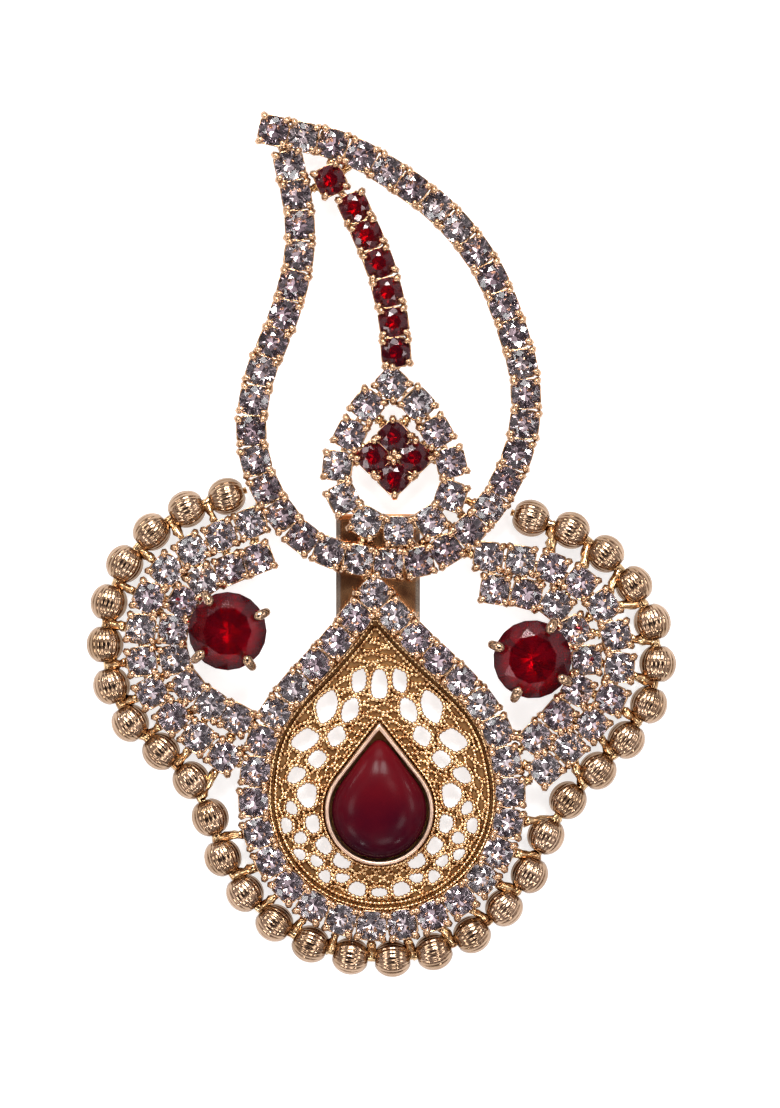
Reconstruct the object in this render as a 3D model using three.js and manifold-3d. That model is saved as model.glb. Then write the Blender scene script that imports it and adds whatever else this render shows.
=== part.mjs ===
import * as THREE from 'three';
import { ConvexGeometry } from 'three/addons/geometries/ConvexGeometry.js';
import { mergeVertices } from 'three/addons/utils/BufferGeometryUtils.js';
import Module from 'manifold-3d';

// A kalgi, the jewel pinned to the front of a turban, lying on its back.
// Millimetres. +X to its right, +Y towards the tip of the leaf, +Z out of its face.

const wasm = await Module();
wasm.setup();

// Driving dimensions

const GAP = 0.3;
const QUARTER_TURN = Math.PI / 2;
const CURVE_STEPS = 2000;
const MERGE_DISTANCE = 1e-4;

const CUP_ACROSS = 4.3;
const CUP_BOTTOM = 3.1;
const CUP_RIM = 5.1;
const STONE_TABLE_Z = 5.9;
const STONE_TABLE_SHARE = 0.52;
const STONE_SIDES = 8;
const LINK_WIDTH = 1.3;
const LINK_DEPTH = 1.0;
const LINK_BITE = 0.3;

const BEAD_DIAMETER = 5.6;
const BEAD_COUNT = 32;
const BEAD_SIDES = 10;
const BEAD_HOLE = 1.9;
const BEAD_LENGTH = 5.0;
const BEAD_SHOULDER = { out: 0.84, along: 0.54 };
const BEAD_AXIS_Z = BEAD_DIAMETER / 2;
const WIRE_DIAMETER = 0.7;
const WIRE_SIDES = 6;
const SPUR_DIAMETER = 0.5;
const SPUR_RISE = 1.2;

const PEAR = { x: 0, y: -37.8, lean: THREE.MathUtils.degToRad(2.2), swell: 1.2 };
const SWELL_SPAN = THREE.MathUtils.degToRad(84);
const BORDER_RADIUS = 19.2;
const BORDER_TIP = 30.5;
const BORDER_COUNT = 29;
const PLATE_RADIUS = 20.0;
const PLATE_TIP = 31.8;
const PLATE_BOTTOM = 2.0;
const PLATE_TOP = 2.8;
const PEAR_SIDES = 48;

const BEZEL = { x: -0.4, y: -39.8, lean: 0, swell: 0 };
const BEZEL_RADIUS = 8.1;
const BEZEL_TIP = 13.2;
const BEZEL_WALL_SHARE = 0.9;
const BEZEL_BOTTOM = PLATE_TOP + GAP;
const BEZEL_FLOOR = 0.5;
const BEZEL_RIM = 6.4;
const CABOCHON_SHARE = 0.86;
const CABOCHON_TOP = 8.8;
const CABOCHON_DOME = 3.4;
const CABOCHON_DOME_DEGREES = [0, 25, 50, 72];
const CABOCHON_SIDES = 24;

const CHATON_RADIUS = 5.85;
const CHATON_SIDES = 16;
const CHATON_CULET = 3.3;
const CHATON_GIRDLE = 7.0;
const CHATON_GIRDLE_DEPTH = 0.3;
const CHATON_TABLE_Z = 8.8;
const CHATON_TABLE_SHARE = 0.56;
const COLLAR_FOOT = { inner: 3.2, outer: 3.8, z: 1.0 };
const COLLAR_MOUTH = { inner: 4.85, outer: 5.3, z: 6.0 };
const PRONG_WIDTH = 1.1;

const CLIP_X = -0.6;
const CLIP_WIDTH = 12.6;
const CLIP_TOP_Y = 4.6;
const CLIP_BOTTOM_Y = -17.0;
const CLIP_SHEET = 0.5;
const CLIP_DEPTH = 1.7;
const CLIP_PAD = { bottom: -4.6, top: 3.4, width: 10.6 };
const CLIP_FOLD_SEGMENTS = 6;

// Paths that the stones and beads follow, in the plane of the jewel

const LEAF_PATH = [
  { x: -16.2, y: 61.8 },
  { x: -5.6, y: 59.2 },
  { x: 2.4, y: 54.7 },
  { x: 9.8, y: 48.9 },
  { x: 15.7, y: 41.2 },
  { x: 19.2, y: 32.8 },
  { x: 21.3, y: 24.7 },
  { x: 21.2, y: 17.5 },
  { x: 19.2, y: 10.9 },
  { x: 14.4, y: 3.5 },
  { x: 7.0, y: -2.2 },
  { x: -2.1, y: -2.5 },
  { x: -11.1, y: 0.5 },
  { x: -17.4, y: 8.5 },
  { x: -19.5, y: 16.9 },
  { x: -18.2, y: 25.3 },
  { x: -14.9, y: 33.5 },
  { x: -12.5, y: 42.4 },
  { x: -12.4, y: 49.5 },
  { x: -13.8, y: 56.6 },
];
const LEAF_COUNT = 38;

const STEM_PATH = [
  { x: -4.1, y: 50.3 },
  { x: -0.3, y: 41.6 },
  { x: 1.8, y: 32.9 },
  { x: 2.1, y: 28.7 },
];
const STEM_COUNT = 6;
const STEM_TOP = { x: -7.7, y: 54.4 };

const ARCH_PATH = [
  { x: 1.5, y: 24.0 },
  { x: -4.8, y: 16.3 },
  { x: -6.7, y: 10.8 },
  { x: -4.6, y: 5.0 },
  { x: 2.4, y: 2.0 },
  { x: 8.8, y: 4.6 },
  { x: 10.7, y: 10.0 },
  { x: 8.1, y: 16.9 },
];
const ARCH_COUNT = 12;

const CLUSTER = { x: 1.8, y: 13.0, count: 4, radius: 3.1 };

const LEFT_OUTER_PATH = [
  { x: -19.6, y: 3.2 },
  { x: -28.6, y: -1.0 },
  { x: -33.9, y: -6.0 },
  { x: -36.1, y: -13.8 },
  { x: -34.7, y: -21.5 },
  { x: -31.5, y: -25.5 },
  { x: -23.6, y: -31.7 },
];
const LEFT_OUTER_COUNT = 11;
const LEFT_INNER_PATH = [
  { x: -18.5, y: -2.1 },
  { x: -27.5, y: -6.1 },
  { x: -30.7, y: -10.6 },
  { x: -30.9, y: -17.3 },
  { x: -28.0, y: -22.1 },
  { x: -21.7, y: -26.0 },
];
const LEFT_INNER_COUNT = 9;

const RIGHT_OUTER_PATH = [
  { x: 15.9, y: -1.8 },
  { x: 25.2, y: -3.4 },
  { x: 32.2, y: -8.1 },
  { x: 35.5, y: -16.2 },
  { x: 34.2, y: -23.0 },
  { x: 31.1, y: -27.2 },
  { x: 24.4, y: -33.6 },
];
const RIGHT_OUTER_COUNT = 11;
const RIGHT_INNER_PATH = [
  { x: 16.9, y: -6.7 },
  { x: 25.2, y: -8.5 },
  { x: 28.9, y: -13.1 },
  { x: 30.6, y: -18.0 },
  { x: 28.3, y: -23.1 },
  { x: 23.0, y: -28.9 },
];
const RIGHT_INNER_COUNT = 8;

const BEAD_PATH = [
  { x: -20.2, y: 7.9 },
  { x: -26.2, y: 6.4 },
  { x: -32.4, y: 3.6 },
  { x: -38.9, y: -3.5 },
  { x: -41.5, y: -13.0 },
  { x: -39.5, y: -24.0 },
  { x: -35.5, y: -29.0 },
  { x: -30.5, y: -33.1 },
  { x: -26.9, y: -37.9 },
  { x: -22.8, y: -49.0 },
  { x: -14.1, y: -58.1 },
  { x: -1.8, y: -62.0 },
  { x: 11.0, y: -59.8 },
  { x: 20.7, y: -51.6 },
  { x: 26.0, y: -40.7 },
  { x: 30.0, y: -36.0 },
  { x: 34.7, y: -31.5 },
  { x: 40.1, y: -23.6 },
  { x: 41.2, y: -14.7 },
  { x: 37.8, y: -6.2 },
  { x: 31.0, y: 0.6 },
  { x: 25.3, y: 3.3 },
  { x: 19.2, y: 4.4 },
];

// Wire spurs soldered between two beads: the gap counted from the left end
const SPUR_GAPS = [3, 6, 11, 13, 16, 19, 22, 27];

const CHATONS = [
  { name: 'left_chaton', x: -23.0, y: -12.9, prongs: [26, 121, 221, 305] },
  { name: 'right_chaton', x: 22.4, y: -17.1, prongs: [60, 160, 245, 327] },
];

// Prong in the plane through the stone's axis: out from the axis and up
const PRONG_PROFILE = [
  { out: 4.5, up: 4.2 },
  { out: 5.2, up: 4.2 },
  { out: 5.7, up: 5.9 },
  { out: 6.7, up: 6.6 },
  { out: 6.7, up: 7.9 },
  { out: 5.7, up: 8.5 },
  { out: 5.45, up: 8.1 },
  { out: 6.2, up: 7.6 },
  { out: 6.2, up: 6.85 },
  { out: 5.4, up: 6.1 },
];

// Gaps of the filigree, mirrored about the cabochon's axis: the turn leans a gap's top outwards
const FILIGREE_GAPS = [
  { aside: 0.0, up: 18.9, wide: 2.3, tall: 4.0, turn: 0 },
  { aside: 3.0, up: 19.4, wide: 1.9, tall: 3.0, turn: -10 },
  { aside: 4.4, up: 15.0, wide: 2.1, tall: 3.2, turn: -24 },
  { aside: 7.8, up: 15.5, wide: 2.7, tall: 4.1, turn: -20 },
  { aside: 6.4, up: 11.1, wide: 2.0, tall: 2.6, turn: -35 },
  { aside: 11.1, up: 10.5, wide: 2.5, tall: 3.6, turn: -61 },
  { aside: 9.3, up: 7.7, wide: 2.0, tall: 2.3, turn: -45 },
  { aside: 12.4, up: 5.2, wide: 1.9, tall: 2.4, turn: -48 },
  { aside: 10.9, up: 2.3, wide: 2.6, tall: 3.3, turn: 0 },
  { aside: 13.1, up: 0.3, wide: 1.4, tall: 1.8, turn: 0 },
  { aside: 10.0, up: -2.1, wide: 1.7, tall: 2.4, turn: 0 },
  { aside: 13.9, up: -2.2, wide: 1.3, tall: 2.1, turn: 0 },
  { aside: 11.8, up: -4.2, wide: 1.4, tall: 1.8, turn: -30 },
  { aside: 8.3, up: -5.4, wide: 1.8, tall: 2.3, turn: 20 },
  { aside: 11.9, up: -6.5, wide: 1.1, tall: 1.9, turn: 45 },
  { aside: 9.4, up: -7.6, wide: 1.3, tall: 2.0, turn: 45 },
  { aside: 5.6, up: -7.7, wide: 1.8, tall: 2.4, turn: 42 },
  { aside: 8.1, up: -9.8, wide: 1.4, tall: 1.8, turn: 40 },
  { aside: 5.5, up: -10.1, wide: 1.3, tall: 2.1, turn: 78 },
  { aside: 3.4, up: -11.7, wide: 1.7, tall: 2.4, turn: 65 },
  { aside: 0.0, up: -12.3, wide: 1.0, tall: 2.0, turn: 90 },
];
const GAP_SIDES = 6;

// Materials

const GOLD_FINISH = { roughness: 0.3, metalness: 1 };
const GLASS_FINISH = { roughness: 0.08, metalness: 0 };
const gold = (color) => new THREE.MeshStandardMaterial({ color, ...GOLD_FINISH });
const glass = (color) => new THREE.MeshStandardMaterial({ color, ...GLASS_FINISH });
const COLOR_CLEAR = 0xb9aec8;
const COLOR_RED = 0x7a0512;
const COLOR_CABOCHON = 0x5c0a10;
const COLOR_ROSE_GOLD = 0xd9ad72;
const COLOR_YELLOW_GOLD = 0xc08a34;

// Solids and meshes

function toSolid(geometry) {
  const bare = geometry.clone();
  bare.deleteAttribute('normal');
  bare.deleteAttribute('uv');
  const merged = mergeVertices(bare, MERGE_DISTANCE);
  const index = Array.from(merged.index.array);
  const triVerts = [];
  for (let i = 0; i < index.length; i += 3) {
    const [a, b, c] = index.slice(i, i + 3);
    if (a !== b && b !== c && c !== a) triVerts.push(a, b, c);
  }
  const mesh = new wasm.Mesh({
    numProp: 3,
    vertProperties: Float32Array.from(merged.attributes.position.array),
    triVerts: Uint32Array.from(triVerts),
  });
  return new wasm.Manifold(mesh);
}

function toGeometry(solid) {
  const mesh = solid.getMesh();
  const geometry = new THREE.BufferGeometry();
  geometry.setAttribute('position', new THREE.BufferAttribute(Float32Array.from(mesh.vertProperties), 3));
  geometry.setIndex(Array.from(mesh.triVerts));
  return geometry;
}

function fuse(geometries) {
  return toGeometry(geometries.map(toSolid).reduce((body, piece) => body.add(piece)));
}

function named(name, geometry, material) {
  const mesh = new THREE.Mesh(geometry, material);
  mesh.name = name;
  return mesh;
}

// A turned solid about +Z, from a profile of { r, z } rows
function turned(profile, sides) {
  const points = profile.map(({ r, z }) => new THREE.Vector2(r, z));
  return new THREE.LatheGeometry(points, sides).rotateX(QUARTER_TURN);
}

// Paths

function curveThrough(rows, closed = false) {
  return new THREE.CatmullRomCurve3(rows.map(({ x, y }) => new THREE.Vector3(x, y, 0)), closed);
}

// Places at one pitch along a curve, each turned towards the chord of its neighbours
function placesAlong(curve, count, closed = false) {
  curve.arcLengthDivisions = CURVE_STEPS;
  const spans = closed ? count : count - 1;
  const points = Array.from({ length: count }, (_, i) => curve.getPointAt(i / spans));
  return points.map((point, i) => {
    const before = points[closed ? (i - 1 + count) % count : Math.max(i - 1, 0)];
    const after = points[closed ? (i + 1) % count : Math.min(i + 1, count - 1)];
    return { x: point.x, y: point.y, angle: Math.atan2(after.y - before.y, after.x - before.x) };
  });
}

// Distance from the centre to the outline: a circle and two tangents from the tip, swelled at the shoulders
function pearReach(pear, angle, radius, tip) {
  const touch = Math.acos(radius / tip);
  const off = Math.abs(Math.atan2(Math.sin(angle), Math.cos(angle)));
  const straight = off < touch ? radius / Math.cos(touch - off) : radius;
  return straight + pear.swell * Math.sin(Math.PI * Math.min(off / SWELL_SPAN, 1)) ** 2;
}

function pearPoint(pear, angle, radius, tip) {
  const reach = pearReach(pear, angle, radius, tip);
  const heading = QUARTER_TURN + pear.lean + angle;
  return { x: pear.x + reach * Math.cos(heading), y: pear.y + reach * Math.sin(heading) };
}

function pearOutline(pear, radius, tip) {
  const angle = (i) => (i * 2 * Math.PI) / PEAR_SIDES;
  return Array.from({ length: PEAR_SIDES }, (_, i) => pearPoint(pear, angle(i), radius, tip));
}

// Stones in their cups

// An eight-sided cup with its stone: three rings of corners and the hull round them
function setStone({ x, y, angle }) {
  const corner = CUP_ACROSS / 2 / Math.cos(Math.PI / STONE_SIDES);
  const rings = [
    { r: corner, z: CUP_BOTTOM },
    { r: corner, z: CUP_RIM },
    { r: corner * STONE_TABLE_SHARE, z: STONE_TABLE_Z },
  ];
  const corners = rings.flatMap(({ r, z }) => Array.from({ length: STONE_SIDES }, (_, i) => {
    const turn = angle + ((i + 0.5) * 2 * Math.PI) / STONE_SIDES;
    return new THREE.Vector3(x + r * Math.cos(turn), y + r * Math.sin(turn), z);
  }));
  return new ConvexGeometry(corners);
}

// The flat link between two neighbouring cups
function link({ from, to }) {
  const length = Math.hypot(to.x - from.x, to.y - from.y);
  const bar = new THREE.BoxGeometry(length - CUP_ACROSS + 2 * LINK_BITE, LINK_WIDTH, LINK_DEPTH);
  bar.rotateZ(Math.atan2(to.y - from.y, to.x - from.x));
  return bar.translate((from.x + to.x) / 2, (from.y + to.y) / 2, (CUP_RIM + CUP_BOTTOM) / 2);
}

function chain(name, places, color, { closed = false, ties = [] } = {}) {
  const pairs = places.slice(1).map((to, i) => ({ from: places[i], to }));
  if (closed) pairs.push({ from: places.at(-1), to: places[0] });
  return named(name, fuse([...places.map(setStone), ...[...pairs, ...ties].map(link)]), glass(color));
}

function placesFor(rows, count, closed = false) {
  return placesAlong(curveThrough(rows, closed), count, closed);
}

const leafPlaces = placesFor(LEAF_PATH, LEAF_COUNT);
const stemRow = placesFor(STEM_PATH, STEM_COUNT);
const stemTop = { ...STEM_TOP, angle: stemRow[0].angle };
const archPlaces = placesFor(ARCH_PATH, ARCH_COUNT, true);
const leftOuterPlaces = placesFor(LEFT_OUTER_PATH, LEFT_OUTER_COUNT);
const leftInnerPlaces = placesFor(LEFT_INNER_PATH, LEFT_INNER_COUNT);
const rightOuterPlaces = placesFor(RIGHT_OUTER_PATH, RIGHT_OUTER_COUNT);
const rightInnerPlaces = placesFor(RIGHT_INNER_PATH, RIGHT_INNER_COUNT);
const borderPlaces = placesFor(pearOutline(PEAR, BORDER_RADIUS, BORDER_TIP), BORDER_COUNT, true);
const clusterPlaces = Array.from({ length: CLUSTER.count }, (_, i) => {
  const angle = i * QUARTER_TURN;
  return {
    x: CLUSTER.x + CLUSTER.radius * Math.cos(angle),
    y: CLUSTER.y + CLUSTER.radius * Math.sin(angle),
    angle: angle + QUARTER_TURN / 2,
  };
});

// Beads on their wire

function beadGeometry() {
  const radius = BEAD_DIAMETER / 2;
  const hole = BEAD_HOLE / 2;
  const half = BEAD_LENGTH / 2;
  const profile = [
    { r: hole, z: -half },
    { r: radius * BEAD_SHOULDER.out, z: -radius * BEAD_SHOULDER.along },
    { r: radius, z: 0 },
    { r: radius * BEAD_SHOULDER.out, z: radius * BEAD_SHOULDER.along },
    { r: hole, z: half },
    { r: hole, z: -half },
  ];
  return turned(profile, BEAD_SIDES);
}

function beads(curve) {
  return Array.from({ length: BEAD_COUNT }, (_, i) => {
    const u = (i + 0.5) / BEAD_COUNT;
    const name = `bead_${String(i + 1).padStart(2, '0')}`;
    const bead = named(name, beadGeometry(), gold(COLOR_ROSE_GOLD));
    const place = curve.getPointAt(u);
    bead.position.set(place.x, place.y, BEAD_AXIS_Z);
    const along = curve.getTangentAt(u);
    const up = new THREE.Vector3(0, 0, 1);
    const across = new THREE.Vector3().crossVectors(up, along);
    bead.quaternion.setFromRotationMatrix(new THREE.Matrix4().makeBasis(across, up, along));
    return bead;
  });
}

function roundSection(diameter, sides) {
  const radius = diameter / 2;
  const corners = Array.from({ length: sides }, (_, i) => {
    const turn = (i * 2 * Math.PI) / sides;
    return new THREE.Vector2(radius * Math.cos(turn), radius * Math.sin(turn));
  });
  return new THREE.Shape(corners);
}

function rod(from, to, diameter) {
  const extrudePath = new THREE.LineCurve3(from, to);
  const section = roundSection(diameter, WIRE_SIDES);
  return new THREE.ExtrudeGeometry(section, { steps: 1, extrudePath });
}

function nearestCup(point, places) {
  const far = ({ x, y }) => Math.hypot(x - point.x, y - point.y);
  return places.reduce((best, place) => (far(place) < far(best) ? place : best));
}

// A spur climbs inwards from the wire to the nearest cup and stops short of it
function spur(curve, gapIndex, places) {
  const root = curve.getPointAt(gapIndex / BEAD_COUNT);
  const along = curve.getTangentAt(gapIndex / BEAD_COUNT);
  const cup = nearestCup(root, places);
  const length = Math.hypot(cup.x - root.x, cup.y - root.y) - CUP_ACROSS / 2 - 2 * GAP;
  const end = new THREE.Vector3(-along.y, along.x, 0).multiplyScalar(length).add(root);
  root.z = BEAD_AXIS_Z;
  end.z = BEAD_AXIS_Z + SPUR_RISE;
  return rod(root, end, SPUR_DIAMETER);
}

function beadWire(curve, places) {
  const section = roundSection(WIRE_DIAMETER, WIRE_SIDES);
  const run = new THREE.ExtrudeGeometry(section, { steps: 2 * BEAD_COUNT, extrudePath: curve });
  run.translate(0, 0, BEAD_AXIS_Z);
  const spurs = SPUR_GAPS.map((gapIndex) => spur(curve, gapIndex, places));
  return named('bead_wire', fuse([run, ...spurs]), gold(COLOR_ROSE_GOLD));
}

// Filigree plate

function gapOutline(x, y, wide, tall, turn) {
  const corner = (i) => (i * 2 * Math.PI) / GAP_SIDES;
  const points = Array.from({ length: GAP_SIDES }, (_, i) => {
    const point = new THREE.Vector2((wide / 2) * Math.sin(corner(i)), (tall / 2) * Math.cos(corner(i)));
    return point.rotateAround(new THREE.Vector2(0, 0), turn).add(new THREE.Vector2(x, y));
  });
  return new THREE.Path(points);
}

function filigreeGaps() {
  return FILIGREE_GAPS.flatMap(({ aside, up, wide, tall, turn }) => {
    const sides = aside > 0 ? [-1, 1] : [1];
    const lean = THREE.MathUtils.degToRad(turn);
    return sides.map((side) => {
      const x = BEZEL.x + side * aside;
      return gapOutline(x, BEZEL.y + up, wide, tall, -side * lean);
    });
  });
}

function filigreePlate() {
  const outline = pearOutline(PEAR, PLATE_RADIUS, PLATE_TIP).map(({ x, y }) => new THREE.Vector2(x, y));
  const shape = new THREE.Shape(outline);
  shape.holes.push(...filigreeGaps());
  const plate = new THREE.ExtrudeGeometry(shape, { depth: PLATE_TOP - PLATE_BOTTOM, bevelEnabled: false });
  return named('filigree_plate', plate.translate(0, 0, PLATE_BOTTOM), gold(COLOR_YELLOW_GOLD));
}

// Cabochon and its bezel: turned solids drawn out to the pear's outline

function pearTurned(profile) {
  const geometry = turned(profile, CABOCHON_SIDES);
  const position = geometry.attributes.position;
  const pear = { ...BEZEL, x: 0, y: 0 };
  for (let i = 0; i < position.count; i += 1) {
    const share = Math.hypot(position.getX(i), position.getY(i));
    const heading = Math.atan2(position.getY(i), position.getX(i)) - QUARTER_TURN;
    const { x, y } = pearPoint(pear, heading, BEZEL_RADIUS, BEZEL_TIP);
    position.setXY(i, share * x, share * y);
  }
  return geometry.translate(BEZEL.x, BEZEL.y, 0);
}

function cabochonBezel() {
  const profile = [
    { r: 0, z: BEZEL_BOTTOM },
    { r: 1, z: BEZEL_BOTTOM },
    { r: 1, z: BEZEL_RIM },
    { r: BEZEL_WALL_SHARE, z: BEZEL_RIM },
    { r: BEZEL_WALL_SHARE, z: BEZEL_BOTTOM + BEZEL_FLOOR },
    { r: 0, z: BEZEL_BOTTOM + BEZEL_FLOOR },
  ];
  return named('cabochon_bezel', toGeometry(toSolid(pearTurned(profile))), gold(COLOR_ROSE_GOLD));
}

function cabochon() {
  const base = BEZEL_BOTTOM + BEZEL_FLOOR + GAP;
  const dome = CABOCHON_DOME_DEGREES.map((degrees) => {
    const angle = THREE.MathUtils.degToRad(degrees);
    return { r: CABOCHON_SHARE * Math.cos(angle), z: CABOCHON_TOP - CABOCHON_DOME * (1 - Math.sin(angle)) };
  });
  const profile = [{ r: 0, z: base }, { r: CABOCHON_SHARE, z: base }, ...dome, { r: 0, z: CABOCHON_TOP }];
  return named('cabochon', toGeometry(toSolid(pearTurned(profile))), glass(COLOR_CABOCHON));
}

// Large round stones in their claw settings

function chatonStone({ name, x, y }) {
  const profile = [
    { r: 0, z: CHATON_CULET },
    { r: CHATON_RADIUS, z: CHATON_GIRDLE },
    { r: CHATON_RADIUS, z: CHATON_GIRDLE + CHATON_GIRDLE_DEPTH },
    { r: CHATON_RADIUS * CHATON_TABLE_SHARE, z: CHATON_TABLE_Z },
    { r: 0, z: CHATON_TABLE_Z },
  ];
  const stone = named(name, toGeometry(toSolid(turned(profile, CHATON_SIDES))), glass(COLOR_RED));
  stone.position.set(x, y, 0);
  return stone;
}

function prong(degrees) {
  const shape = new THREE.Shape(PRONG_PROFILE.map(({ out, up }) => new THREE.Vector2(out, up)));
  const claw = new THREE.ExtrudeGeometry(shape, { depth: PRONG_WIDTH, bevelEnabled: false });
  claw.translate(0, 0, -PRONG_WIDTH / 2).rotateX(QUARTER_TURN);
  return claw.rotateZ(THREE.MathUtils.degToRad(degrees));
}

function chatonSetting({ name, x, y, prongs }) {
  const collar = turned([
    { r: COLLAR_FOOT.inner, z: COLLAR_FOOT.z },
    { r: COLLAR_FOOT.outer, z: COLLAR_FOOT.z },
    { r: COLLAR_MOUTH.outer, z: COLLAR_MOUTH.z },
    { r: COLLAR_MOUTH.inner, z: COLLAR_MOUTH.z },
    { r: COLLAR_FOOT.inner, z: COLLAR_FOOT.z },
  ], CHATON_SIDES);
  const body = fuse([collar, ...prongs.map(prong)]);
  const setting = named(`${name}_setting`, body, gold(COLOR_ROSE_GOLD));
  setting.position.set(x, y, 0);
  return setting;
}

// Clip on the back: one strip folded over at its top, and the pad that carries it

function backClip() {
  const fold = CLIP_TOP_Y - CLIP_DEPTH / 2;
  const outer = CLIP_DEPTH / 2;
  const inner = outer - CLIP_SHEET;
  const section = new THREE.Shape();
  section.moveTo(CLIP_BOTTOM_Y, 0);
  section.lineTo(fold, 0);
  section.absarc(fold, outer, outer, -QUARTER_TURN, QUARTER_TURN, false);
  section.lineTo(CLIP_BOTTOM_Y, CLIP_DEPTH);
  section.lineTo(CLIP_BOTTOM_Y, CLIP_DEPTH - CLIP_SHEET);
  section.lineTo(fold, CLIP_DEPTH - CLIP_SHEET);
  section.absarc(fold, outer, inner, QUARTER_TURN, -QUARTER_TURN, true);
  section.lineTo(CLIP_BOTTOM_Y, CLIP_SHEET);
  section.closePath();
  const drawing = { depth: CLIP_WIDTH, bevelEnabled: false, curveSegments: CLIP_FOLD_SEGMENTS };
  const strip = new THREE.ExtrudeGeometry(section, drawing);
  strip.rotateX(QUARTER_TURN).rotateZ(QUARTER_TURN).translate(CLIP_X - CLIP_WIDTH / 2, 0, 0);
  const padTop = CUP_BOTTOM - GAP;
  const padDepth = padTop - CLIP_DEPTH + CLIP_SHEET / 2;
  const pad = new THREE.BoxGeometry(CLIP_PAD.width, CLIP_PAD.top - CLIP_PAD.bottom, padDepth);
  pad.translate(CLIP_X, (CLIP_PAD.top + CLIP_PAD.bottom) / 2, padTop - padDepth / 2);
  return named('back_clip', fuse([strip, pad]), gold(COLOR_ROSE_GOLD));
}

// Assembly

const kalgi = new THREE.Group();
const leafTie = { from: leafPlaces[1], to: leafPlaces.at(-1) };
kalgi.add(chain('leaf_chain', leafPlaces, COLOR_CLEAR, { ties: [leafTie] }));
kalgi.add(chain('stem_chain', [stemTop, ...stemRow], COLOR_RED));
kalgi.add(chain('arch_chain', archPlaces, COLOR_CLEAR, { closed: true }));
kalgi.add(chain('red_cluster', clusterPlaces, COLOR_RED, { closed: true }));
kalgi.add(chain('left_wing_outer_chain', leftOuterPlaces, COLOR_CLEAR));
kalgi.add(chain('left_wing_inner_chain', leftInnerPlaces, COLOR_CLEAR));
kalgi.add(chain('right_wing_outer_chain', rightOuterPlaces, COLOR_CLEAR));
kalgi.add(chain('right_wing_inner_chain', rightInnerPlaces, COLOR_CLEAR));
kalgi.add(chain('pear_border_chain', borderPlaces, COLOR_CLEAR, { closed: true }));
kalgi.add(filigreePlate(), cabochonBezel(), cabochon());
CHATONS.forEach((row) => kalgi.add(chatonStone(row), chatonSetting(row)));
const beadCurve = curveThrough(BEAD_PATH);
beadCurve.arcLengthDivisions = CURVE_STEPS;
const edgePlaces = [...leftOuterPlaces, ...rightOuterPlaces, ...borderPlaces];
kalgi.add(...beads(beadCurve), beadWire(beadCurve, edgePlaces));
kalgi.add(backClip());

// The origin is under the middle of the jewel, on the surface it lies on
const box = new THREE.Box3().setFromObject(kalgi, true);
const middle = box.getCenter(new THREE.Vector3());
kalgi.position.set(-middle.x, -middle.y, -box.min.z);

export default kalgi;
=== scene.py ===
"""Looks of a kalgi, a turban jewel of set stones, gold beads and filigree.

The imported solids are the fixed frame. The places and sizes of stones, beads, gaps and settings are read
from them, and each visible piece is a surface of numpy arrays with a procedural material.
"""

import logging
import math
from dataclasses import dataclass, field
from enum import Enum

import bmesh
import bpy
import numpy as np
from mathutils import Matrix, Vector
from mathutils.geometry import delaunay_2d_cdt


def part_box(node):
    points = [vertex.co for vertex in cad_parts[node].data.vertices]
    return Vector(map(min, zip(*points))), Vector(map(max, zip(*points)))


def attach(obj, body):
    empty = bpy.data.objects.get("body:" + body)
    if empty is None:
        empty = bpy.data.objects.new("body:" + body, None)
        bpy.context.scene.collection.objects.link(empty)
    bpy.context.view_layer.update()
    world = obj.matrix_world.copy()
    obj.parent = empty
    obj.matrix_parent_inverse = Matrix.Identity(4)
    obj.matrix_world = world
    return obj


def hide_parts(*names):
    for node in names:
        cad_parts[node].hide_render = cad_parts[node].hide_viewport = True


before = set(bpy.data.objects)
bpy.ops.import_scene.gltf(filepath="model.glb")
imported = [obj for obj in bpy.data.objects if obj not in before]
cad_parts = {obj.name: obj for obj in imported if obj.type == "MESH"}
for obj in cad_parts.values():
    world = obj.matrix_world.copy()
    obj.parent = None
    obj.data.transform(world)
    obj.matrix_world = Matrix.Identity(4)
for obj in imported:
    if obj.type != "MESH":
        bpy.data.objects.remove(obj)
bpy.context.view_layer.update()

LOG = logging.getLogger("kalgi")
MM = 0.001
LEVEL = 0.01 * MM  # heights this near to each other count as one
QUARTER, TURN = math.pi / 2, 2.0 * math.pi
SIDEWAYS = np.array([0.0, 1.0, 0.0])
SEED = 41

Color = tuple[float, float, float]
Row = tuple[float, float]
Material = bpy.types.Material
Socket = bpy.types.NodeSocket
Inputs = dict[str | int, object]
Random = np.random.Generator


class Slot(str, Enum):
    """Material slots of the record."""

    CLEAR = "clear_stones"
    RED = "red_stones"
    CABOCHON = "cabochon_red"
    ROSE = "rose_gold"
    YELLOW = "yellow_gold"


class Shade(Enum):
    """How the faces of a surface are shaded."""

    FLAT = "flat"
    SMOOTH = "smooth"


class Kind(Enum):
    """Kinds of sockets of a node group."""

    COLOR = "NodeSocketColor"
    VALUE = "NodeSocketFloat"


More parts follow.
